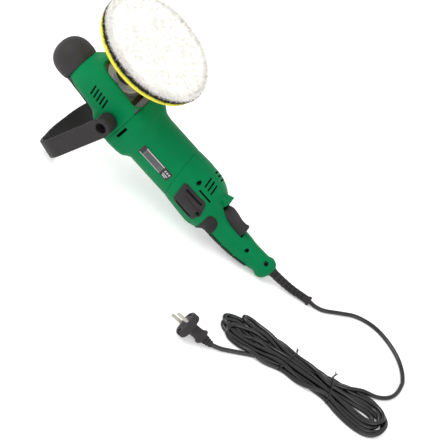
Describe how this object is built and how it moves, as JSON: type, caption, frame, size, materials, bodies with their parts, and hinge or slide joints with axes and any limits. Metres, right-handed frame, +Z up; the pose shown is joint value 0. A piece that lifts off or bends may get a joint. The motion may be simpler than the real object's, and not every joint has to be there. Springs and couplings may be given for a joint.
{
  "type": "rotary polisher",
  "caption": "Corded rotary car polisher with a loop handle, a ball nose grip, a trigger handle and a round wool bonnet, lying on its back with its mains lead tied in a hank.",
  "frame": {"origin": "on the floor, under the middle of the tool's bounding box, measured without the lead", "axes": "+X from the nose grip towards the tail of the handle, +Y to the tool's left flank seen from behind with the bonnet up, +Z up; the tool lies on its back on the loop handle and the tail"},
  "size_m": [0.6961, 0.2953, 0.2791],
  "materials": {
    "green_shell": "injection-moulded green plastic, satin",
    "dark_rubber": "textured dark rubber overmould",
    "dark_plastic": "dark grey moulded plastic, fine texture",
    "cast_aluminium": "die-cast aluminium, machined faces",
    "bright_steel": "ground and plated steel",
    "dark_steel": "blackened steel",
    "core_steel": "laminated steel",
    "copper": "varnished copper and brass",
    "carbon": "pressed carbon",
    "label": "printed foil label without lettering",
    "circuit": "potted circuit board",
    "lock_red": "moulded plastic button on a steel pin",
    "yellow_foam": "yellow flexible polyurethane",
    "black_loop": "black hook-and-loop backing",
    "wool": "off-white cut-pile lambswool",
    "cord_rubber": "black flexible sheath",
    "tie_wire": "black plastic-covered twist wire"
  },
  "bodies": {
    "tool": {"head_cover": "green_shell", "gear_case": "cast_aluminium", "gear_plate": "cast_aluminium", "bearing_box": "cast_aluminium", "bearing_retainer": "bright_steel", "retainer_screws": "dark_steel", "case_screws": "dark_steel", "ball_bearing": "bright_steel", "needle_bearing": "bright_steel", "countershaft_bearings": "bright_steel", "armature_bearings": "bright_steel", "nose_grip": "dark_rubber", "motor_housing": "green_shell", "fan_baffle": "dark_plastic", "stator_core": "core_steel", "field_coils": "copper", "bearing_bracket": "dark_plastic", "brush_holders": "copper", "carbon_brushes": "carbon", "rear_housing_right": "green_shell", "rear_housing_left": "green_shell", "rear_screws": "dark_steel", "vent_cover_right": "dark_plastic", "vent_cover_left": "dark_plastic", "rating_label": "label", "soft_grip": "dark_rubber", "trigger_pin": "bright_steel", "switch_body": "dark_plastic", "speed_module": "circuit", "handle_bolts": "dark_steel", "cord_clamp": "dark_plastic", "cord_guard": "dark_rubber", "power_cord": "cord_rubber", "cord_hank": "cord_rubber", "hank_ties": "tie_wire", "plug_lead": "cord_rubber", "plug_body": "dark_plastic", "plug_pins": "bright_steel"},
    "spindle_group": {"spindle": "dark_steel", "bevel_gear": "dark_steel", "backing_hub": "dark_steel", "backing_pad": "yellow_foam", "loop_layer": "black_loop", "wool_pad": "wool"},
    "countershaft_group": {"countershaft": "dark_steel", "first_gear": "dark_steel"},
    "armature_group": {"armature_shaft": "dark_steel", "armature_core": "core_steel", "armature_windings": "copper", "commutator": "copper", "cooling_fan": "dark_plastic"},
    "loop_handle": {"loop_handle": "dark_plastic"},
    "trigger": {"trigger": "dark_plastic"},
    "lock_button": {"lock_button": "dark_plastic"},
    "speed_dial": {"speed_dial": "dark_plastic"},
    "spindle_lock": {"spindle_lock": "lock_red"}
  },
  "joints": [
    {"name": "spindle_spin", "type": "hinge", "parent": "tool", "child": "spindle_group", "pos_m": [-0.1231, 0, 0.13415], "axis": [0.3256, 0, 0.9455], "continuous": true},
    {"name": "countershaft_spin", "type": "hinge", "parent": "tool", "child": "countershaft_group", "pos_m": [-0.101, 0, 0.10618], "axis": [0.9455, 0, -0.3256], "continuous": true},
    {"name": "armature_spin", "type": "hinge", "parent": "tool", "child": "armature_group", "pos_m": [-0.01909, 0, 0.09834], "axis": [0.9455, 0, -0.3256], "continuous": true},
    {"name": "handle_tilt", "type": "hinge", "parent": "tool", "child": "loop_handle", "pos_m": [-0.09379, 0, 0.12406], "axis": [0, 1, 0], "range_deg": [-35, 35]},
    {"name": "trigger_pull", "type": "hinge", "parent": "tool", "child": "trigger", "pos_m": [0.10737, 0, 0.06325], "axis": [0, 1, 0], "range_deg": [0, 6], "stiffness_Nm_per_rad": 2.5, "springref_deg": -8.59},
    {"name": "lock_press", "type": "slide", "parent": "tool", "child": "lock_button", "axis": [0, -1, 0], "range_m": [0, 0.0025], "stiffness_N_per_m": 600, "springref_m": -0.002},
    {"name": "dial_turn", "type": "hinge", "parent": "tool", "child": "speed_dial", "pos_m": [0.19353, 0, 0.00937], "axis": [0, 1, 0], "range_deg": [0, 270]},
    {"name": "spindle_lock_press", "type": "slide", "parent": "tool", "child": "spindle_lock", "axis": [0.3256, 0, 0.9455], "range_m": [0, 0.0035], "stiffness_N_per_m": 700, "springref_m": -0.002}
  ],
  "couplings": [
    {"joint": "countershaft_spin", "follows": "spindle_spin", "ratio": -2.6364},
    {"joint": "armature_spin", "follows": "spindle_spin", "ratio": 8.8977}
  ]
}
